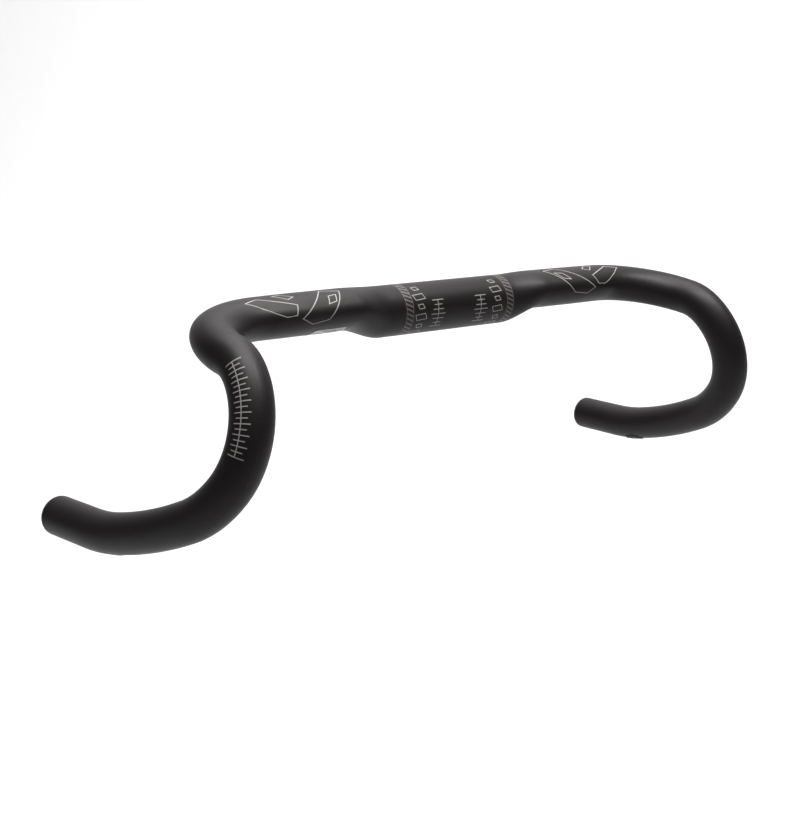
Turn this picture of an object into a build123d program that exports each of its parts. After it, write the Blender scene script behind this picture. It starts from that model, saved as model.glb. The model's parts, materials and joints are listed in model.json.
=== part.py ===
"""Flared carbon drop handlebar with flattened tops, wire ports and expanding bar-end plugs.

Millimetres and degrees. The origin is the middle of the stem clamp, on the clamp's axis. +X points
to the rider's right, +Y forwards and +Z up. The right half is modelled, and the left half is its
mirror image. Distances "along the bar" are measured outwards from the middle of the clamp.
"""

import os
from math import cos, pi, radians, sin, tan

from build123d import *

# ---------------------------------------------------------------------------------------------
# Driving dimensions
# ---------------------------------------------------------------------------------------------

# Stem clamp: the round middle of the bar
clamp_diameter = 31.8
clamp_half_length = 51.0
clamp_wall = 2.6

# Tops: the flattened stretch that the hands rest on
taper_length = 29.0
tops_depth = 43.0
tops_height = 25.4
tops_lift = 4.0
tops_sweep = 2.3
tops_tilt = 4.5
tops_length = 60.5
flat_length = 36.0

# Corner: two tangent bends that turn the bar from sideways to forwards
corner_inner_radius = 53.5
corner_middle_heading = 46.0
corner_middle_dip = 8.7
corner_outer_radius = 45.0
ramp_heading = 90.9
ramp_dip = 11.4

# Hook and drop: tangent bends in one plane that leans outwards by the flare
flare = 15.4
drop_diameter = 23.8
tube_wall = 1.8
hook_bends = [(29.5, 29.2), (45.0, 86.2), (71.0, 29.1), (285.0, 12.7)]
tail_bend_radius = 130.0
drop_straight = 35.5
round_start = 236.0
rounding_pace = 0.75

# Butt joints between the centre moulding and the two drop mouldings, where the flat tops end
sleeve_half_length = 12.0
sleeve_wall = 1.2
bond_gap = 0.1

# Wire ports and their rubber grommets
drop_port_distance = 403.0
drop_port_around = 55.0
drop_port_length = 13.0
drop_port_width = 7.0
tops_port_distance = 92.0
tops_port_around = -132.0
tops_port_length = 11.0
tops_port_width = 6.5
grommet_fit = 0.05
grommet_lip = 1.2
grommet_lip_height = 0.5
grommet_depth = 1.0
wire_hole_diameter = 2.6

# Lot label under the right top
label_distance = 98.0
label_around = -66.0
label_length = 24.0
label_width = 12.0
label_corner = 1.5
label_lift = 0.02
label_thickness = 0.12

# Expanding bar-end plug
plug_flange_thickness = 2.0
plug_flange_inset = 0.1
plug_flange_round = 1.2
plug_seat_gap = 0.1
plug_spigot_length = 3.0
plug_spigot_fit = 0.15
collet_length = 20.0
collet_fit = 0.05
collet_wall = 4.45
collet_lip = 1.85
collet_cone_angle = 12.0
collet_slot_width = 2.0
collet_slot_length = 15.0
o_ring_thickness = 1.5
o_ring_fit = 0.05
o_ring_from_wedge = 2.0
wedge_length = 8.5
wedge_proud = 1.0
wedge_fit = 0.05
wedge_rib_fit = 0.1
wedge_rib_height = 1.1

# M5 screw of the plug
screw_diameter = 5.0
screw_length = 25.0
screw_head_diameter = 8.5
screw_head_height = 2.7
screw_head_fit = 0.25
screw_head_sink = 0.3
screw_shank_fit = 0.08
screw_nut_fit = 0.05
screw_seat_gap = 0.05
hex_key_width = 3.0
hex_key_depth = 1.8
screw_tip_chamfer = 0.5

# How closely lofted sections follow each other
taper_sections = 13
blend_sections = 11
local_sections = 7

# ---------------------------------------------------------------------------------------------
# Centre line of the right half
# ---------------------------------------------------------------------------------------------


def direction(heading, dip=0.0):
    """Unit vector turned heading degrees from +X towards +Y and dipped below the horizon."""
    level = cos(radians(dip))
    return Vector(cos(radians(heading)) * level, sin(radians(heading)) * level, -sin(radians(dip)))


def bend(start, heading, new_heading, radius):
    """Arc that leaves start along one heading and ends along another."""
    plane = Plane(start, x_dir=heading, z_dir=heading.cross(new_heading))
    return plane * JernArc((0, 0), (1, 0), radius, heading.get_angle(new_heading))


def ease(share):
    """Step from 0 to 1 that leaves and arrives level."""
    share = min(max(share, 0.0), 1.0)
    return share * share * (3 - 2 * share)


taper_end = clamp_half_length + taper_length
flat_end = taper_end + flat_length
joint_distance = flat_end
corner_start = taper_end + tops_length

tops_direction = direction(tops_sweep)
ramp_direction = direction(ramp_heading, ramp_dip)
straight_down = Vector(sin(radians(flare)), 0, -cos(radians(flare)))
hook_normal = ramp_direction.cross(straight_down).normalized()

tops_start = Vector(taper_end, 0, tops_lift)
line_edges = [Line(tops_start, tops_start + tops_direction * tops_length)]

corner_middle_direction = direction(corner_middle_heading, corner_middle_dip)
corner_bends = [
    (tops_direction, corner_middle_direction, corner_inner_radius),
    (corner_middle_direction, ramp_direction, corner_outer_radius),
]
for from_heading, to_heading, radius in corner_bends:
    line_edges.append(bend(line_edges[-1] @ 1, from_heading, to_heading, radius))
corner_middle = corner_start + line_edges[1].length
corner_end = corner_middle + line_edges[2].length

# The last bend brings the drop's straight end back to level.
turned_so_far = sum(turn for _, turn in hook_bends)
tail_bend = (tail_bend_radius, 180.0 - ramp_dip - turned_so_far)
hook_heading = ramp_direction
for radius, turn in [*hook_bends, tail_bend]:
    new_heading = hook_heading.rotate(Axis((0, 0, 0), hook_normal), turn)
    line_edges.append(bend(line_edges[-1] @ 1, hook_heading, new_heading, radius))
    hook_heading = new_heading
line_edges.append(Line(line_edges[-1] @ 1, (line_edges[-1] @ 1) + hook_heading * drop_straight))

bar_line = Wire(line_edges)
bar_length = taper_end + bar_line.length
bar_end = Plane(bar_line @ 1, x_dir=hook_normal, z_dir=hook_heading)

# ---------------------------------------------------------------------------------------------
# Cross-section of the bar
# ---------------------------------------------------------------------------------------------

clamp_radius = clamp_diameter / 2
drop_radius = drop_diameter / 2


def roundness_at(distance):
    """How far the bar has changed from the tops' section, at 0, to the round one, at 1."""
    share = max(distance - flat_end, 0.0) / (round_start - flat_end)
    return ease(share**rounding_pace)


def half_sizes(distance):
    """Half depth and half height of the bar's outside, from the tops outwards."""
    roundness = roundness_at(distance)
    half_depth = tops_depth / 2 + (drop_radius - tops_depth / 2) * roundness
    half_height = tops_height / 2 + (drop_radius - tops_height / 2) * roundness
    return half_depth, half_height


def frame_at(distance):
    """Plane square to the bar: x across its wide side, y towards its upper or outer side."""
    along = distance - taper_end
    origin = bar_line.position_at(along, position_mode=PositionMode.LENGTH)
    heading = bar_line.tangent_at(along, position_mode=PositionMode.LENGTH)
    lean = radians(flare) * ease((distance - corner_start) / (corner_end - corner_start))
    across = Vector(-sin(lean), 0, cos(lean)).cross(heading)
    if distance >= corner_end:
        across = hook_normal
    tilt = tops_tilt * (1 - roundness_at(distance))
    across = across.normalized().rotate(Axis((0, 0, 0), heading), tilt)
    return Plane(origin, x_dir=across, z_dir=heading)


def section_at(distance, inset):
    """The bar's section, drawn in by inset."""
    half_depth, half_height = half_sizes(distance)
    return frame_at(distance) * Ellipse(half_depth - inset, half_height - inset)


def seat_plane(distance, around):
    """Plane on the bar's skin: x along the bar and z straight out.

    around is in degrees: 0 is the front of the tops and the inner side of the hook, and 90 is the
    upper side of the tops and the outer side of the bends.
    """
    frame = frame_at(distance)
    half_depth, half_height = half_sizes(distance)
    turn = radians(around)
    point = frame.origin + frame.x_dir * half_depth * cos(turn) + frame.y_dir * half_height * sin(turn)
    outward = frame.x_dir * (cos(turn) / half_depth) + frame.y_dir * (sin(turn) / half_height)
    return Plane(point, x_dir=frame.z_dir, z_dir=outward.normalized())


# ---------------------------------------------------------------------------------------------
# Solid runs of the bar, which the walls, grommets and label are cut from
# ---------------------------------------------------------------------------------------------


def spread(sections):
    """Shares from 0 to 1, closer together at both ends, where a loft needs its direction held."""
    return [(1 - cos(pi * index / (sections - 1))) / 2 for index in range(sections)]


def clamp_run(inset):
    """Half of the round clamp zone."""
    return extrude(Plane.YZ * Circle(clamp_radius - inset), amount=clamp_half_length)


def taper_run(clamp_inset, tops_inset):
    """The stretch where the round clamp flattens and lifts into the tops."""
    sections = []
    for share in spread(taper_sections):
        eased = ease(share)
        inset = clamp_inset + (tops_inset - clamp_inset) * eased
        half_depth = clamp_radius + (tops_depth / 2 - clamp_radius) * eased - inset
        half_height = clamp_radius + (tops_height / 2 - clamp_radius) * eased - inset
        origin = Vector(clamp_half_length + taper_length * share, 0, tops_lift * eased)
        heading = direction(tops_sweep * eased)
        across = Vector(0, 0, 1).cross(heading).rotate(Axis((0, 0, 0), heading), tops_tilt * eased)
        plane = Plane(origin, x_dir=across, z_dir=heading)
        sections.append(plane * Ellipse(half_depth, half_height))
    return loft(sections)


def tops_run(start, end, inset):
    """A stretch of the straight, flattened tops."""
    return extrude(section_at(start, inset), amount=end - start)


def blend_run(inset):
    """From the flat tops, round the corner, to where the bar has become round.

    One loft can't follow a full turn, so each stretch of the line has its own.
    """
    stops = [flat_end, corner_start, corner_middle, corner_end, round_start]
    lofts = []
    for start, end in zip(stops, stops[1:]):
        places = [start + (end - start) * share for share in spread(blend_sections)]
        lofts.append(loft([section_at(place, inset) for place in places]))
    return lofts[0] + lofts[1:]


def round_run(start, end, inset):
    """A stretch of the round hook and drop."""
    line_start = (start - taper_end) / bar_line.length
    line_end = (end - taper_end) / bar_line.length
    path = bar_line.trim(line_start, line_end)
    return sweep(Plane(path @ 0, z_dir=path % 0) * Circle(drop_radius - inset), path=path)


def local_run(start, end, inset):
    """A short stretch anywhere on the bar with one unbroken skin, for small pieces fitted to it."""
    places = [start + (end - start) * share for share in spread(local_sections)]
    return loft([section_at(place, inset) for place in places])


def slot_prism(distance, around, length, width):
    """A slot-shaped plug that stands through the bar's wall."""
    reach = 2 * tube_wall + 2
    return extrude(seat_plane(distance, around) * SlotOverall(length, width), amount=reach, both=True)


# ---------------------------------------------------------------------------------------------
# Carbon mouldings, joint sleeve, grommets and label
# ---------------------------------------------------------------------------------------------

drop_port = (drop_port_distance, drop_port_around, drop_port_length, drop_port_width)
tops_port = (tops_port_distance, tops_port_around, tops_port_length, tops_port_width)


def centre_half(clamp_inset, tops_inset):
    """Right half of the centre moulding's outside, or of its bore."""
    return (
        clamp_run(clamp_inset)
        + taper_run(clamp_inset, tops_inset)
        + tops_run(taper_end, joint_distance, tops_inset)
    )


def make_centre_tube():
    """Clamp zone, tapers and tops in one moulding."""
    half = centre_half(0, 0) - centre_half(clamp_wall, tube_wall) - slot_prism(*tops_port)
    return half + mirror(half, about=Plane.YZ)


def drop_outline(inset):
    """The outside of the right drop moulding, or its bore."""
    return blend_run(inset) + round_run(round_start, bar_length, inset)


def make_drop_tube():
    """Corner, hook and drop in one moulding."""
    return drop_outline(0) - drop_outline(tube_wall) - slot_prism(*drop_port)


def make_joint_sleeve():
    """Thin ring bonded inside both mouldings at their butt joint."""
    start = joint_distance - sleeve_half_length
    end = joint_distance + sleeve_half_length
    outer = tube_wall + bond_gap
    return local_run(start, end, outer) - local_run(start, end, outer + sleeve_wall)


def make_grommet(port):
    """Rubber liner of a wire port: a lip outside, a body through the wall and a hole for the wire."""
    distance, around, length, width = port
    start = distance - length
    end = distance + length
    lip = slot_prism(distance, around, length + 2 * grommet_lip, width + 2 * grommet_lip)
    body = slot_prism(distance, around, length - 2 * grommet_fit, width - 2 * grommet_fit)
    skin = local_run(start, end, -grommet_fit)
    outside = local_run(start, end, -grommet_lip_height)
    inside = local_run(start, end, tube_wall + grommet_depth)
    hole = slot_prism(distance, around, length - 2 * wire_hole_diameter, wire_hole_diameter)
    return ((lip & outside) - skin) + ((body & outside) - inside) - hole


def make_label():
    """Foil lot label that lies on the skin under the right top."""
    start = label_distance - label_length
    end = label_distance + label_length
    foil = tops_run(start, end, -label_lift - label_thickness) - tops_run(start, end, -label_lift)
    outline = seat_plane(label_distance, label_around) * RectangleRounded(
        label_length, label_width, label_corner
    )
    return foil & extrude(outline, amount=tops_height / 4, both=True)


# ---------------------------------------------------------------------------------------------
# Bar-end plug, drawn upright: z = 0 is the bar's cut end and +Z points out of the bar
# ---------------------------------------------------------------------------------------------

bore_radius = drop_radius - tube_wall
spigot_radius = bore_radius - plug_spigot_fit
collet_radius = bore_radius - collet_fit
collet_bore_radius = collet_radius - collet_wall
collet_mouth_radius = collet_radius - collet_lip
collet_mouth = -plug_spigot_length - collet_length
screw_radius = screw_diameter / 2
cap_face = plug_seat_gap + plug_flange_thickness
head_seat = cap_face - screw_head_sink - screw_head_height
shank_hole_radius = screw_radius + screw_shank_fit
cone_slope = tan(radians(collet_cone_angle))
wedge_back = collet_mouth - wedge_proud
wedge_front = wedge_back + wedge_length
o_ring_height = wedge_front + o_ring_from_wedge + o_ring_thickness / 2
o_ring_centre_radius = bore_radius - o_ring_fit - o_ring_thickness / 2


def turned(*points):
    """Solid of revolution about Z from (radius, height) points."""
    return revolve(Plane.XZ * make_face(Polyline(*points, close=True)), Axis.Z)


def make_plug_cap():
    """Flanged cap with a recess for the screw's head."""
    flange_radius = drop_radius - plug_flange_inset
    head_hole_radius = screw_head_diameter / 2 + screw_head_fit
    cap = turned(
        (shank_hole_radius, -plug_spigot_length),
        (spigot_radius, -plug_spigot_length),
        (spigot_radius, plug_seat_gap),
        (flange_radius, plug_seat_gap),
        (flange_radius, cap_face),
        (head_hole_radius, cap_face),
        (head_hole_radius, head_seat),
        (shank_hole_radius, head_seat),
    )
    rim = cap.edges().filter_by_position(Axis.Z, cap_face, cap_face).sort_by(Edge.length)[-1]
    return fillet(rim, plug_flange_round)


def make_plug_collet():
    """Slotted collar that the wedge spreads against the bore."""
    cone_length = (collet_mouth_radius - collet_bore_radius) / cone_slope
    collet = turned(
        (collet_bore_radius, -plug_spigot_length),
        (collet_radius, -plug_spigot_length),
        (collet_radius, collet_mouth),
        (collet_mouth_radius, collet_mouth),
        (collet_bore_radius, collet_mouth + cone_length),
    )
    slot = Box(
        2 * bore_radius,
        collet_slot_width,
        collet_slot_length,
        align=(Align.CENTER, Align.CENTER, Align.MIN),
    )
    for turn in (0, 90):
        collet -= Pos(0, 0, collet_mouth) * Rot(0, 0, turn) * slot
    groove = Torus(o_ring_centre_radius, o_ring_thickness / 2 + o_ring_fit)
    return collet - Pos(0, 0, o_ring_height) * groove


def make_plug_o_ring():
    """Rubber ring that holds the collet's fingers together."""
    return Pos(0, 0, o_ring_height) * Torus(o_ring_centre_radius, o_ring_thickness / 2)


def make_plug_wedge():
    """Cone nut with ribs that ride in the collet's slots."""
    fit = wedge_fit / cos(radians(collet_cone_angle))
    mouth_radius = collet_mouth_radius - fit
    front_radius = mouth_radius - (wedge_front - collet_mouth) * cone_slope
    hole_radius = screw_radius + screw_nut_fit
    cone = turned(
        (hole_radius, wedge_back),
        (mouth_radius, wedge_back),
        (mouth_radius, collet_mouth),
        (front_radius, wedge_front),
        (hole_radius, wedge_front),
    )
    rib_reach = mouth_radius + wedge_rib_height
    rib = Box(
        2 * rib_reach,
        collet_slot_width - 2 * wedge_rib_fit,
        wedge_length,
        align=(Align.CENTER, Align.CENTER, Align.MIN),
    )
    hole = Pos(0, 0, wedge_back) * Cylinder(
        hole_radius, wedge_length, align=(Align.CENTER, Align.CENTER, Align.MIN)
    )
    for turn in (0, 90):
        cone += Pos(0, 0, wedge_back) * Rot(0, 0, turn) * rib
    return cone - hole


def make_plug_screw():
    """Socket-head screw that draws the wedge towards the cap."""
    head_radius = screw_head_diameter / 2
    shoulder = head_seat + screw_seat_gap
    head_top = head_seat + screw_head_height
    tip = shoulder - screw_length
    screw = turned(
        (0, tip),
        (screw_radius - screw_tip_chamfer, tip),
        (screw_radius, tip + screw_tip_chamfer),
        (screw_radius, shoulder),
        (head_radius, shoulder),
        (head_radius, head_top),
        (0, head_top),
    )
    socket = RegularPolygon(hex_key_width / 2, side_count=6, major_radius=False)
    socket = Pos(0, 0, head_top) * extrude(socket, amount=-hex_key_depth)
    rim = screw.edges().filter_by_position(Axis.Z, head_top, head_top).sort_by(Edge.length)[-1]
    return fillet(rim, screw_head_height / 4) - socket


# ---------------------------------------------------------------------------------------------
# One STEP file for each piece
# ---------------------------------------------------------------------------------------------

right_pieces = {
    "drop_tube": make_drop_tube(),
    "joint_sleeve": make_joint_sleeve(),
    "drop_port_grommet": make_grommet(drop_port),
    "tops_port_grommet": make_grommet(tops_port),
    "plug_cap": bar_end * make_plug_cap(),
    "plug_collet": bar_end * make_plug_collet(),
    "plug_o_ring": bar_end * make_plug_o_ring(),
    "plug_wedge": bar_end * make_plug_wedge(),
    "plug_screw": bar_end * make_plug_screw(),
}

pieces = {"centre_tube": make_centre_tube(), "lot_label": make_label()}
for name, solid in right_pieces.items():
    pieces["right_" + name] = solid
    pieces["left_" + name] = mirror(solid, about=Plane.YZ)

os.makedirs("parts", exist_ok=True)
for name, solid in pieces.items():
    export_step(solid, os.path.join("parts", name + ".step"))
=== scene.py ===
# %% [markdown]
# # A flared carbon drop bar
# The bar is two moulded carbon drops bonded to a carbon centre. It wears a satin black lacquer, pale
# printed scales for setting the stem and the levers, thin line art on the tops, rubber wire ports
# and an expanding plug in each end. The CAD model gives every solid piece. This lesson adds what a
# painter and a printer would: finishes, ink, foil and moulded detail.

# %% Load the frame
import json
from math import atan2, cos, pi, radians, sin

import bpy
from mathutils import Matrix, Vector


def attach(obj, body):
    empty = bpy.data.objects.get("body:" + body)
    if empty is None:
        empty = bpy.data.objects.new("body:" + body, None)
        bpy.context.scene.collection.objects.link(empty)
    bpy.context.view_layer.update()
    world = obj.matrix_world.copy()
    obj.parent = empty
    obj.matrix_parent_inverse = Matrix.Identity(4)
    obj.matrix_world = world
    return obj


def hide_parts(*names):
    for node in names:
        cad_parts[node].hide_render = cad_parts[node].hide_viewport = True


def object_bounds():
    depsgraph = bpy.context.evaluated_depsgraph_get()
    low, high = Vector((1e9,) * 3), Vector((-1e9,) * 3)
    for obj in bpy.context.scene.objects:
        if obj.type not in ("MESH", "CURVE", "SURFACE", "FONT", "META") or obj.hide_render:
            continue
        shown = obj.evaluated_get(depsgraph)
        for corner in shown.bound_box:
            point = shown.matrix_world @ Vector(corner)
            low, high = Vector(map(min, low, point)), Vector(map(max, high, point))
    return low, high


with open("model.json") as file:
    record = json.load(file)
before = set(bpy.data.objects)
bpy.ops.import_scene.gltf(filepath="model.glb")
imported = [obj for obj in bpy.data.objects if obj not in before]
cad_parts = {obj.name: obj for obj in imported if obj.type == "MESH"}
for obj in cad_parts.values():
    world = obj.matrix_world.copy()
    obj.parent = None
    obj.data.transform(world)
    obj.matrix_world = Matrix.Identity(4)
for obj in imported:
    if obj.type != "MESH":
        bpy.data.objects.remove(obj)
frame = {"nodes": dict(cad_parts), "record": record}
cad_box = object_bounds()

MM = 0.001
nodes = frame["nodes"]
mounts = {mount["name"]: mount for mount in frame["record"]["mounts"]}
lowest, highest = Vector(cad_box[0]), Vector(cad_box[1])
print("the bar measures", [round(size, 3) for size in highest - lowest], "m")

# %% [markdown]
# ## Camera and studio
# The bar is seen from its front right corner, a little above the tops. A pale floor and a sweep
# behind it stand for a studio table. One wide soft box above gives the tops their grey sheen, and
# the unlit room in front of the bar gives the dark line along their nose.

# %% Camera
view_azimuth = radians(40.15)
view_elevation = radians(11.44)
view_roll = radians(-0.22)
view_distance = 849.5 * MM
aim = Vector((27.2, -6.1, -63.6)) * MM

towards_camera = Vector((
    sin(view_azimuth) * cos(view_elevation),
    cos(view_azimuth) * cos(view_elevation),
    sin(view_elevation),
))
bpy.ops.object.camera_add(location=aim + towards_camera * view_distance)
camera = bpy.context.active_object
turn = towards_camera.to_track_quat("Z", "Y").to_matrix()
camera.rotation_euler = (turn @ Matrix.Rotation(view_roll, 3, "Z")).to_euler()
camera.data.lens = 59.14
camera.data.sensor_width = 36
bpy.context.scene.camera = camera
bpy.context.scene.view_settings.view_transform = "Standard"

# %% Floor and sweep
floor_drop = 320 * MM
floor_height = lowest.z - floor_drop
sweep_distance = 1.7
sweep_height = 2.2
sweep_width = 7.0
sweep_radius = 0.9

bpy.ops.object.select_all(action="DESELECT")
bpy.ops.mesh.primitive_plane_add(size=sweep_width, location=(0, 0, 0))
sweep = bpy.context.active_object
sweep.name = "studio_sweep"
bpy.ops.object.mode_set(mode="EDIT")
bpy.ops.mesh.select_all(action="DESELECT")
bpy.ops.object.mode_set(mode="OBJECT")
for edge in sweep.data.edges:
    ends = [sweep.data.vertices[index].co for index in edge.vertices]
    edge.select = all(end.y < 0 for end in ends)
bpy.ops.object.mode_set(mode="EDIT")
bpy.ops.transform.translate(value=(0, sweep_width / 2 - sweep_distance, 0))
bpy.ops.mesh.extrude_region_move(TRANSFORM_OT_translate={"value": (0, 0, sweep_height)})
bpy.ops.mesh.select_all(action="DESELECT")
bpy.ops.object.mode_set(mode="OBJECT")
for edge in sweep.data.edges:
    ends = [sweep.data.vertices[index].co for index in edge.vertices]
    edge.select = all(end.z < 0.01 and end.y < 0.01 - sweep_distance for end in ends)
bpy.ops.object.mode_set(mode="EDIT")
bpy.ops.mesh.bevel(offset=sweep_radius, segments=16)
bpy.ops.object.mode_set(mode="OBJECT")
bpy.ops.object.shade_smooth()
sweep.rotation_euler.z = -view_azimuth
sweep.location.z = floor_height

# %% Lights


def soft_box(name, place, aimed_at, width, depth, brightness):
    """A rectangular studio light whose face has the given brightness."""
    bpy.ops.object.light_add(type="AREA", location=place)
    light = bpy.context.active_object
    light.name = name
    light.data.shape = "RECTANGLE"
    light.data.size = width
    light.data.size_y = depth
    light.data.energy = brightness * pi * width * depth
    light.rotation_euler = (Vector(place) - Vector(aimed_at)).to_track_quat("Z", "Y").to_euler()
    return light


soft_box("overhead_box", (-0.1, 0.0, 1.2), (0, 0, 0), 1.8, 1.4, 7.0)
soft_box("sweep_light", (-0.2, 0.5, 1.9), (-1.1, -1.4, 0.2), 2.4, 0.6, 24.0)

world = bpy.data.worlds.new("dim_room")
world.use_nodes = True
world.node_tree.nodes["Background"].inputs["Color"].default_value = (0.12, 0.113, 0.113, 1)
bpy.context.scene.world = world

# %% [markdown]
# ## Finishes
# Each finish is a small graph. Numbers are mixed with Python's own operators, which one class turns
# into Math nodes. Every other node comes from one method, so a finish reads like a recipe.

# %% The two shader helpers


class Channel:
    """An output socket, with + and * for the ones that hold a number."""

    def __init__(self, finish, socket):
        self.finish = finish
        self.socket = socket

    def maths(self, operation, first, second):
        """One Math node on two numbers or channels."""
        return self.finish.node("ShaderNodeMath", {"operation": operation}, {0: first, 1: second})

    def __add__(self, other):
        return self.maths("ADD", self, other)

    def __mul__(self, other):
        return self.maths("MULTIPLY", self, other)

    __radd__ = __add__
    __rmul__ = __mul__


class Finish:
    """A material whose fixed values sit on the shader and whose nodes come from node()."""

    def __init__(self, name, fixed):
        self.material = bpy.data.materials.new(name)
        self.material.use_nodes = True
        self.tree = self.material.node_tree
        self.shader = self.tree.nodes["Principled BSDF"]
        for socket, value in fixed.items():
            self.shader.inputs[socket].default_value = value
        self.place = self.node("ShaderNodeTexCoord", {}, {}, "Object")

    def node(self, kind, settings, sockets, output=0):
        """Adds a node, sets it up and returns one of its outputs."""
        node = self.tree.nodes.new(kind)
        for name, value in settings.items():
            setattr(node, name, value)
        for name, value in sockets.items():
            if isinstance(value, Channel):
                self.tree.links.new(value.socket, node.inputs[name])
            else:
                node.inputs[name].default_value = value
        return Channel(self, node.outputs[output])

    def drive(self, socket, channel):
        """Links a channel to one of the shader's sockets."""
        self.tree.links.new(channel.socket, self.shader.inputs[socket])

    def stretched(self, angles, scale):
        """The place on the piece, turned and then scaled, for grain that runs one way."""
        turned = self.node("ShaderNodeMapping", {}, {"Vector": self.place, "Rotation": angles})
        return self.node("ShaderNodeMapping", {}, {"Vector": turned, "Scale": scale})

    def noise(self, scale, detail=3.0, where=None):
        """Soft random variation between 0 and 1."""
        sockets = {"Vector": where or self.place, "Scale": scale, "Detail": detail}
        return self.node("ShaderNodeTexNoise", {}, sockets, "Fac")

    def blend(self, share, dark, light):
        """A colour between dark and light; 0, 6, 7 and 2 are the Mix node's colour sockets."""
        sockets = {0: share, 6: (*dark, 1), 7: (*light, 1)}
        return self.node("ShaderNodeMix", {"data_type": "RGBA"}, sockets, 2)

    def bump(self, height, depth):
        """Raises the surface by up to depth metres where height is 1."""
        sockets = {"Height": height, "Distance": depth}
        self.drive("Normal", self.node("ShaderNodeBump", {}, sockets, "Normal"))


def dress(piece, finish):
    """Gives a piece one material over all its faces."""
    piece.data.materials.clear()
    piece.data.materials.append(finish.material)


# %% Lacquered carbon


def lacquered_carbon():
    """Cross-laid fibres that show faintly through a satin black lacquer."""
    finish = Finish("satin_black_carbon", {
        "Specular IOR Level": 0.13,
        "Specular Tint": (1.0, 0.92, 0.935, 1),
        "Coat Roughness": 0.36,
    })
    steep = finish.noise(160, 4.0, finish.stretched((radians(45), 0, 0), (1, 14, 1)))
    shallow = finish.noise(160, 4.0, finish.stretched((radians(-45), 0, 0), (1, 14, 1)))
    fibres = (steep + shallow) * 0.5
    clouds = finish.noise(28, 2.0)
    resin_black, fibre_grey = (0.0024, 0.0019, 0.0020), (0.0076, 0.0062, 0.0064)
    finish.drive("Base Color", finish.blend(fibres, resin_black, fibre_grey))
    finish.drive("Roughness", 0.40 + 0.10 * clouds + 0.05 * fibres)
    finish.drive("Coat Weight", 0.02 + 0.03 * clouds)
    peel = finish.noise(700, 2.0)
    finish.bump(peel * 0.7 + fibres * 0.3, 0.00004)
    return finish


carbon = lacquered_carbon()
for name in ("centre_tube", "right_drop_tube", "left_drop_tube"):
    dress(nodes[name], carbon)

# %% [markdown]
# ## The small pieces
# Inks, rubber, moulded plastics, steel, foil and bare carbon each get grain and unevenness at the
# size they have on the real pieces, so that nothing is one flat tone.

# %% Other finishes


def ink(name, thin, full):
    """Screen-printed ink that is thinner in places and a little grainy."""
    finish = Finish(name, {"Specular IOR Level": 0.35})
    coverage = finish.noise(900, 4.0)
    patches = finish.noise(90, 2.0)
    finish.drive("Base Color", finish.blend(coverage * 0.6 + patches * 0.4, thin, full))
    finish.drive("Roughness", 0.42 + 0.22 * coverage)
    finish.bump(coverage, 0.00002)
    return finish


def moulded_rubber():
    """Matt rubber with a fine sandy skin."""
    finish = Finish("moulded_rubber", {"Specular IOR Level": 0.28})
    sand = finish.noise(2600, 3.0)
    bloom = finish.noise(140, 2.0)
    dark, light = (0.010, 0.010, 0.010), (0.024, 0.023, 0.022)
    finish.drive("Base Color", finish.blend(bloom, dark, light))
    finish.drive("Roughness", 0.62 + 0.22 * sand)
    finish.bump(sand, 0.00006)
    return finish


def moulded_nylon(name, dark, light):
    """Glass-filled nylon: spark-eroded grain with pale fibre flecks near the surface."""
    finish = Finish(name, {"Specular IOR Level": 0.42})
    grain = finish.noise(3200, 2.0)
    flecks = finish.noise(1500, 5.0, finish.stretched((0.4, 0.7, 0.2), (1, 5, 1)))
    finish.drive("Base Color", finish.blend(flecks, dark, light))
    finish.drive("Roughness", 0.40 + 0.25 * grain)
    finish.bump(grain, 0.00005)
    return finish


def black_oxide():
    """Blackened steel that has picked up oil and handling marks."""
    finish = Finish("black_oxide_steel", {"Metallic": 1.0})
    oil = finish.noise(420, 4.0)
    rub = finish.noise(2400, 2.0)
    finish.drive("Base Color", finish.blend(oil, (0.035, 0.036, 0.040), (0.11, 0.11, 0.115)))
    finish.drive("Roughness", 0.26 + 0.24 * rub)
    finish.bump(rub, 0.000015)
    return finish


def polyester_foil():
    """Silvery label stock with a faint rolled grain."""
    finish = Finish("polyester_foil", {"Specular IOR Level": 0.5})
    rolled = finish.noise(240, 3.0, finish.stretched((0, 0, 0), (1, 22, 22)))
    dust = finish.noise(1300, 3.0)
    finish.drive("Base Color", finish.blend(rolled, (0.17, 0.17, 0.172), (0.25, 0.25, 0.254)))
    finish.drive("Roughness", 0.32 + 0.16 * dust)
    finish.drive("Metallic", 0.25 + 0.2 * rolled)
    finish.bump(rolled * 0.6 + dust * 0.4, 0.00002)
    return finish


def bare_carbon():
    """Moulded sleeve with its woven fibres showing."""
    finish = Finish("bare_woven_carbon", {"Specular IOR Level": 0.5})
    sockets = {
        "Vector": finish.stretched((radians(45), 0, 0), (1, 1, 1)),
        "Scale": 170,
        "Distortion": 0.6,
    }
    over = finish.node("ShaderNodeTexWave", {"bands_direction": "X"}, sockets, "Fac")
    under = finish.node("ShaderNodeTexWave", {"bands_direction": "Y"}, sockets, "Fac")
    crossings = over * under
    finish.drive("Base Color", finish.blend(crossings, (0.008, 0.008, 0.009), (0.045, 0.045, 0.048)))
    finish.drive("Roughness", 0.30 + 0.25 * over)
    finish.bump(over + under, 0.00004)
    return finish


pale_ink = ink("pale_grey_ink", (0.13, 0.120, 0.116), (0.21, 0.195, 0.190))
bronze_ink = ink("bronze_ink", (0.034, 0.029, 0.025), (0.075, 0.064, 0.056))
dark_ink = ink("dark_label_ink", (0.020, 0.020, 0.022), (0.050, 0.050, 0.052))
rubber = moulded_rubber()
plug_nylon = moulded_nylon("plug_nylon", (0.012, 0.012, 0.012), (0.034, 0.033, 0.032))
wedge_nylon = moulded_nylon("wedge_nylon", (0.030, 0.030, 0.031), (0.075, 0.074, 0.073))



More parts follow.
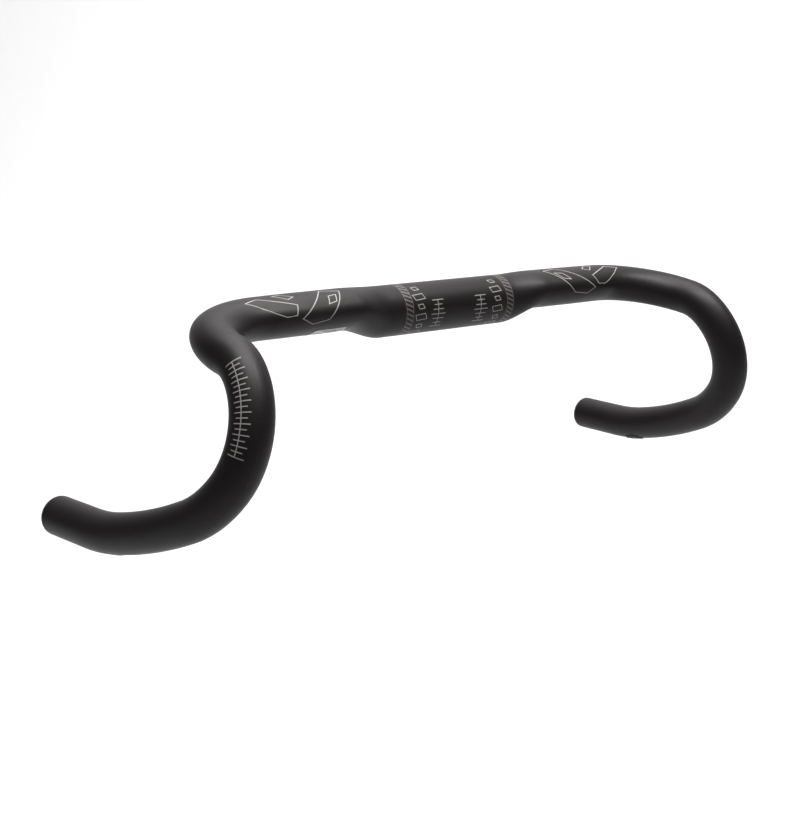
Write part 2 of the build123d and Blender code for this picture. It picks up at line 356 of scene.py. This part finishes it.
def seamless_paper():
    """Pale grey background paper with the faint mottle of its pulp."""
    finish = Finish("seamless_paper", {"Specular IOR Level": 0.1, "Roughness": 0.9})
    pulp = finish.noise(60, 4.0)
    finish.drive("Base Color", finish.blend(pulp, (0.47, 0.47, 0.47), (0.49, 0.49, 0.49)))
    return finish


dress(sweep, seamless_paper())
dress(nodes["lot_label"], polyester_foil())
woven = bare_carbon()
oxide = black_oxide()
for side in ("right", "left"):
    dress(nodes[side + "_joint_sleeve"], woven)
    dress(nodes[side + "_plug_screw"], oxide)
    dress(nodes[side + "_plug_wedge"], wedge_nylon)
    dress(nodes[side + "_plug_collet"], plug_nylon)
    dress(nodes[side + "_plug_cap"], plug_nylon)
    for name in ("_plug_o_ring", "_drop_port_grommet", "_tops_port_grommet"):
        dress(nodes[side + name], rubber)

# %% [markdown]
# ## Printing on a curved bar
# On the real bar a water-slide film carries the artwork round the tube. Here each line is a thin flat
# strip. It is drawn flat, with x as the distance along the bar and y as the way round it, laid round
# the bar's line, and then pressed on the skin by a Shrinkwrap modifier that leaves it a hair proud.

# %% One skin to print on
ink_lift = 0.04 * MM

copies = []
for name in ("centre_tube", "right_drop_tube", "left_drop_tube"):
    copy = nodes[name].copy()
    copy.data = nodes[name].data.copy()
    copy.parent = None
    bpy.context.scene.collection.objects.link(copy)
    copies.append(copy)
bpy.ops.object.select_all(action="DESELECT")
for copy in copies:
    copy.select_set(True)
bpy.context.view_layer.objects.active = copies[0]
bpy.ops.object.join()
skin = bpy.context.active_object
skin.name = "printing_skin"
bpy.ops.object.mode_set(mode="EDIT")
bpy.ops.mesh.select_all(action="SELECT")
bpy.ops.mesh.remove_doubles(threshold=0.001 * MM)
bpy.ops.object.mode_set(mode="OBJECT")
print("the skin has", len(skin.data.vertices), "points")

# %% The bar's line
clamp_radius = 15.9 * MM
tops_start = Vector((80, 0, 4)) * MM
tops_direction = Vector((cos(radians(2.3)), sin(radians(2.3)), 0))
tops_length = 60.5 * MM
tops_half_depth = 21.5 * MM
tops_half_height = 12.7 * MM
tops_tilt = radians(4.5)
corner_radius = 53.5 * MM
corner_direction = Vector((0.687, 0.711, -0.151))
upright = Vector((0, 0, 1))


def bar_frame(distance):
    """Middle, front and top of the right tops or corner, at a distance from the clamp's middle."""
    corner_start = tops_start + tops_direction * tops_length
    beyond = distance - tops_start.x - tops_length
    heading = tops_direction
    middle = corner_start + tops_direction * beyond
    if beyond > 0:
        axis = tops_direction.cross(corner_direction).normalized()
        turning = Matrix.Rotation(beyond / corner_radius, 3, axis)
        centre = corner_start + axis.cross(tops_direction) * corner_radius
        heading = turning @ tops_direction
        middle = centre + turning @ (corner_start - centre)
    front = Matrix.Rotation(tops_tilt, 3, heading) @ upright.cross(heading).normalized()
    return middle, front, heading.cross(front)


# %% Drawing flat
most_halvings = 6
finest_cut = 1.2 * MM


def stroke(start, end, width):
    """One straight line from start to end."""
    start = Vector((*start, 0))
    end = Vector((*end, 0))
    along = end - start
    bpy.ops.mesh.primitive_plane_add(
        size=1, location=(start + end) / 2, rotation=(0, 0, atan2(along.y, along.x))
    )
    line = bpy.context.active_object
    line.scale = (along.length, width, 1)
    bpy.ops.object.transform_apply()
    return line


def outline(corners, width):
    """A closed shape drawn with a line of even width and mitred corners."""
    bpy.ops.mesh.primitive_circle_add(vertices=len(corners), fill_type="NGON")
    shape = bpy.context.active_object
    for vertex, corner in zip(shape.data.vertices, corners):
        vertex.co = (*corner, 0)
    bpy.ops.object.mode_set(mode="EDIT")
    bpy.ops.mesh.select_all(action="SELECT")
    bpy.ops.mesh.inset(thickness=width)
    bpy.ops.mesh.delete(type="FACE")
    bpy.ops.object.mode_set(mode="OBJECT")
    return shape


def gathered(name, parts, longest):
    """One piece of artwork, whose edges are halved until none is over the longest length."""
    bpy.ops.object.select_all(action="DESELECT")
    for part in parts:
        part.select_set(True)
    bpy.context.view_layer.objects.active = parts[0]
    bpy.ops.object.join()
    art = bpy.context.active_object
    art.name = name
    art.data.name = name
    bpy.ops.object.mode_set(mode="EDIT")
    bpy.ops.mesh.select_mode(type="EDGE")
    for _ in range(most_halvings):
        bpy.ops.mesh.select_all(action="DESELECT")
        bpy.ops.object.mode_set(mode="OBJECT")
        points = art.data.vertices
        long_edges = 0
        for edge in art.data.edges:
            first, second = edge.vertices
            edge.select = (points[first].co - points[second].co).length > longest
            long_edges += edge.select
        bpy.ops.object.mode_set(mode="EDIT")
        if not long_edges:
            break
        bpy.ops.mesh.subdivide(number_cuts=1)
    bpy.ops.object.mode_set(mode="OBJECT")
    return art


def face_outwards(art):
    """Turns over every face that looks towards the bar."""
    bpy.context.view_layer.objects.active = art
    bpy.ops.object.mode_set(mode="EDIT")
    bpy.ops.mesh.select_mode(type="FACE")
    bpy.ops.mesh.select_all(action="DESELECT")
    bpy.ops.object.mode_set(mode="OBJECT")
    for face in art.data.polygons:
        _, _, outwards, _ = skin.closest_point_on_mesh(face.center)
        face.select = face.normal.dot(outwards) < 0
    bpy.ops.object.mode_set(mode="EDIT")
    bpy.ops.mesh.flip_normals()
    bpy.ops.object.mode_set(mode="OBJECT")


def press_on(art, finish, lift=ink_lift, sideways=False):
    """Presses artwork on the skin, prints it and lets it ride on the bar."""
    bpy.ops.object.select_all(action="DESELECT")
    art.select_set(True)
    bpy.context.view_layer.objects.active = art
    press = art.modifiers.new("press", "SHRINKWRAP")
    press.target = skin
    press.offset = lift
    if sideways:
        press.wrap_method = "PROJECT"
        press.use_project_z = True
        press.use_positive_direction = False
        press.use_negative_direction = True
    else:
        press.wrap_method = "NEAREST_SURFACEPOINT"
        press.wrap_mode = "ABOVE_SURFACE"
    bpy.ops.object.modifier_apply(modifier=press.name)
    bpy.ops.object.transform_apply()
    face_outwards(art)
    bpy.ops.object.shade_smooth()
    dress(art, finish)
    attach(art, "bar")
    print(art.name, len(art.data.polygons), "faces")


def mirrored(art, name):
    """The same artwork on the other half of the bar."""
    twin = art.copy()
    twin.data = art.data.copy()
    twin.name = name
    twin.data.name = name
    bpy.context.scene.collection.objects.link(twin)
    for vertex in twin.data.vertices:
        vertex.co.x = -vertex.co.x
    return twin


def round_the_clamp(art, middle):
    """Lays flat artwork round the clamp, with its x counted from middle."""
    for vertex in art.data.vertices:
        around = vertex.co.y / clamp_radius
        front, top = clamp_radius * cos(around), clamp_radius * sin(around)
        vertex.co = (middle + vertex.co.x, front, top)


def round_the_tops(art, girth_radius, side):
    """Lays flat artwork round the right tops (side 1) or the left tops (side -1)."""
    for vertex in art.data.vertices:
        middle, front, top = bar_frame(vertex.co.x)
        around = vertex.co.y / girth_radius
        place = middle + front * tops_half_depth * cos(around)
        place += top * tops_half_height * sin(around)
        vertex.co = (side * place.x, place.y, place.z)


# %% [markdown]
# ## Stem scales
# Two short scales on the front of the clamp show how far the bar has been rolled in the stem. Each
# is a spine with seven ticks, longest in the middle. They sit a little to the rider's left of centre.

# %% Stem scales
scale_line = 0.55 * MM
scale_pitch = radians(10.6) * clamp_radius
scale_start = radians(-41.5) * clamp_radius
tick_lengths = [9.4, 6.4, 8.8, 11.6, 8.8, 6.4, 9.4]
stem_scale_middles = {"right": 14.0 * MM, "left": -22.3 * MM}

for side, middle in stem_scale_middles.items():
    top = scale_start + scale_pitch * (len(tick_lengths) - 1)
    lines = [stroke((0, scale_start), (0, top), scale_line)]
    for index, length in enumerate(tick_lengths):
        height = scale_start + scale_pitch * index
        lines.append(stroke((-length / 2 * MM, height), (length / 2 * MM, height), scale_line))
    scale = gathered(side + "_stem_scale", lines, finest_cut)
    round_the_clamp(scale, middle)
    press_on(scale, pale_ink)

# %% [markdown]
# ## Bands beside the clamp
# Outside each scale is a plain band of outlined slanted slabs. Beyond it a fine bronze ring of
# hatching marks the end of the clamping zone.

# %% Bands and rings
band_line = 0.5 * MM
band_middles = {"right": 28.0 * MM, "left": -37.0 * MM}
band_pitch = 6.4 * MM
band_start = radians(-58) * clamp_radius
band_slabs = 6
long_slab = [(-5.0, -2.0), (3.4, -2.7), (5.0, 1.3), (-3.4, 2.0)]
short_slab = [(-3.2, -1.6), (1.4, -2.0), (2.8, 1.1), (-1.8, 1.5)]
ring_middles = {"right": 37.0 * MM, "left": -48.4 * MM}
ring_width = 5.4 * MM
clamp_girth = 2 * pi * clamp_radius
ring_edge_line = 0.45 * MM
hatches = 34
hatch_lean = 2.6 * MM
hatch_line = 1.15 * MM


def placed(corners, rise):
    """A small shape's corners in metres, moved up the artwork."""
    return [(x * MM, y * MM + rise) for x, y in corners]


for side, middle in band_middles.items():
    shapes = []
    for index in range(band_slabs):
        slab = short_slab if index % 2 else long_slab
        shapes.append(outline(placed(slab, band_start + band_pitch * index), band_line))
    band = gathered(side + "_clamp_band", shapes, finest_cut)
    round_the_clamp(band, middle)
    press_on(band, pale_ink)

for side, middle in ring_middles.items():
    lines = []
    for x in (-ring_width / 2, ring_width / 2):
        lines.append(stroke((x, -clamp_girth / 2), (x, clamp_girth / 2), ring_edge_line))
    for index in range(hatches):
        rise = clamp_girth * (index / hatches - 0.5)
        ends = (-ring_width / 2, rise), (ring_width / 2, rise + hatch_lean)
        lines.append(stroke(*ends, hatch_line))
    ring = gathered(side + "_clamp_ring", lines, finest_cut)
    round_the_clamp(ring, middle)
    press_on(ring, bronze_ink)

# %% [markdown]
# ## Line art on the tops
# Thin outlines run over the nose of the tops, on both sides of the bar. They are plain kites and
# blades of this lesson's own, one even line wide.

# %% Line art on the tops
art_line = 0.62 * MM
art_girth = 17 * MM
kite = [(86, 66), (99, 76), (124, -6), (116, -24), (104, -16)]
lozenge = [(92, 54), (99, 50), (103, 24), (96, 30)]
blade = [(158, 66), (146, 70), (124, 34), (127, 4), (134, 2), (150, 38)]
splinter = [(121, 60), (128, 78), (134, 74), (127, 52)]


def on_girth(corners):
    """Corners given as millimetres along the bar and degrees round it, as flat artwork."""
    return [(distance * MM, radians(around) * art_girth) for distance, around in corners]


for side, hand in (("right", 1), ("left", -1)):
    shapes = []
    for corners in (kite, lozenge, blade, splinter):
        shapes.append(outline(on_girth(corners), art_line))
    art = gathered(side + "_tops_art", shapes, 1.6 * MM)
    round_the_tops(art, art_girth, hand)
    press_on(art, pale_ink)

# %% [markdown]
# ## Lever scales
# A scale of nineteen ticks runs down the outer face of each hook, so that both levers can be
# clamped at the same height. It follows the hook's main bend. It is drawn in the plane of the bend
# and pressed on sideways, as a pad printer would.

# %% Lever scales
hook_radius = 45 * MM
spine_radius = 49.6 * MM
spine_before = 33 * MM
spine_after = 18 * MM
lever_ticks = 19
long_tick = 4.3 * MM
short_tick = 3.1 * MM
pad_distance = 25 * MM

lever_place = Vector(mounts["right_lever_clamp"]["pos_m"])
lever_axis = Vector(mounts["right_lever_clamp"]["axis"])
grip_axis = Vector(mounts["right_grip_end"]["axis"])
bend_axis = lever_axis.cross(grip_axis).normalized()
inwards = bend_axis.cross(lever_axis).normalized()
bend_centre = lever_place + inwards * hook_radius


def round_the_bend(art, radius):
    """Curves flat artwork round the middle of the hook's bend, with its y pointing outwards."""
    for vertex in art.data.vertices:
        angle = vertex.co.x / radius
        reach = radius + vertex.co.y
        vertex.co = (reach * cos(angle), reach * sin(angle), 0)


lines = [stroke((-spine_after, 0), (spine_before, 0), scale_line)]
for index in range(lever_ticks):
    x = spine_before - (spine_before + spine_after) * index / (lever_ticks - 1)
    reach = short_tick if index % 2 else long_tick
    lines.append(stroke((x, -reach), (x, reach), scale_line))
lever_scale = gathered("right_lever_scale", lines, 1.0 * MM)
round_the_bend(lever_scale, spine_radius)
lever_scale.matrix_world = (
    Matrix.Translation(bend_centre - bend_axis * pad_distance)
    @ Matrix((-inwards, bend_axis.cross(inwards), -bend_axis)).transposed().to_4x4()
)
bpy.context.view_layer.update()
press_on(lever_scale, pale_ink, sideways=True)
left_scale = mirrored(lever_scale, "left_lever_scale")
press_on(left_scale, pale_ink)

# %% [markdown]
# ## Label print
# The lot label under the right top carries a few rules and a row of bars, and no words or numbers.

# %% Label print
label_height = 0.16 * MM
label_girth = 20.3 * MM
label_x = 98 * MM
label_y = radians(-66) * label_girth
label_rules = 3
label_bars = 22

lines = []
for index in range(label_rules):
    rise = label_y + (1.6 + 1.3 * index) * MM
    start, end = label_x - 10 * MM, label_x + (2 + 2 * index) * MM
    lines.append(stroke((start, rise), (end, rise), 0.4 * MM))
for index in range(label_bars):
    x = label_x + (index * 0.85 - 9.6) * MM
    width = 0.5 * MM if index % 3 else 0.25 * MM
    lines.append(stroke((x, label_y - 4.4 * MM), (x, label_y - 0.2 * MM), width))
label_print = gathered("lot_label_print", lines, finest_cut)
round_the_tops(label_print, label_girth, 1)
press_on(label_print, dark_ink, lift=label_height + ink_lift)

# %% [markdown]
# ## Plug caps
# Each moulded cap has a spigot in the bore, a flange over the bar's cut end, a shallow dish and
# small grip notches round its rim. Its profile is spun, and the notches are inset faces.

# %% Plug caps
cap_profile = [
    (2.58, -3.0), (9.7, -3.0), (9.95, -2.75), (9.95, 0.1), (11.75, 0.1), (11.8, 0.15), (11.8, 1.0),
    (11.6, 1.5), (11.2, 1.85), (10.6, 2.05), (10.0, 2.1), (9.3, 2.1), (9.0, 1.8), (5.8, 1.8),
    (5.5, 2.1), (4.7, 2.1), (4.5, 1.9), (4.5, -0.9), (2.58, -0.9),
]
cap_steps = 96
steps_per_notch = 4
rim_radius = 11.7 * MM
notch_lip = 0.08 * MM
notch_depth = 0.28 * MM


def cut_notches(cap):
    """Sinks every fourth face of the cap's upright rim."""
    bpy.ops.object.mode_set(mode="EDIT")
    bpy.ops.mesh.select_mode(type="FACE")
    bpy.ops.mesh.select_all(action="DESELECT")
    bpy.ops.object.mode_set(mode="OBJECT")
    for face in cap.data.polygons:
        x, y, z = face.center
        on_rim = Vector((x, y)).length > rim_radius and 0.2 * MM < z < 0.9 * MM
        step = round(atan2(y, x) / (2 * pi) * cap_steps - 0.5)
        face.select = on_rim and step % steps_per_notch == 0
    bpy.ops.object.mode_set(mode="EDIT")
    bpy.ops.mesh.inset(thickness=notch_lip, depth=-notch_depth, use_individual=True)
    bpy.ops.object.mode_set(mode="OBJECT")


def plug_cap(side):
    """A turned cap at the cut end of one drop, standing for its plain CAD solid."""
    mount = mounts[side + "_grip_end"]
    axis = Vector(mount["axis"])
    start = Vector(mount["pos_m"])
    tube = nodes[side + "_drop_tube"].data
    end = max((vertex.co - start).dot(axis) for vertex in tube.vertices)
    bpy.ops.mesh.primitive_circle_add(vertices=len(cap_profile), fill_type="NOTHING")
    cap = bpy.context.active_object
    cap.name = side + "_moulded_cap"
    cap.data.name = cap.name
    for vertex, (radius, height) in zip(cap.data.vertices, cap_profile):
        vertex.co = (radius * MM, 0, height * MM)
    bpy.ops.object.mode_set(mode="EDIT")
    bpy.ops.mesh.select_all(action="SELECT")
    bpy.ops.mesh.spin(steps=cap_steps, angle=2 * pi, center=(0, 0, 0), axis=(0, 0, 1))
    bpy.ops.mesh.select_all(action="SELECT")
    bpy.ops.mesh.remove_doubles(threshold=0.001 * MM)
    bpy.ops.mesh.normals_make_consistent(inside=False)
    bpy.ops.object.mode_set(mode="OBJECT")
    cut_notches(cap)
    turned = axis.to_track_quat("Z", "Y").to_matrix().to_4x4()
    cap.matrix_world = Matrix.Translation(start + axis * end) @ turned
    bpy.ops.object.transform_apply()
    bpy.ops.object.shade_smooth_by_angle(angle=radians(32))
    dress(cap, plug_nylon)
    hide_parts(side + "_plug_cap")
    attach(cap, side + "_plug")
    print(cap.name, len(cap.data.polygons), "faces")


for side in ("right", "left"):
    bpy.ops.object.select_all(action="DESELECT")
    plug_cap(side)

# %% Put the printing skin away
bpy.data.objects.remove(skin)
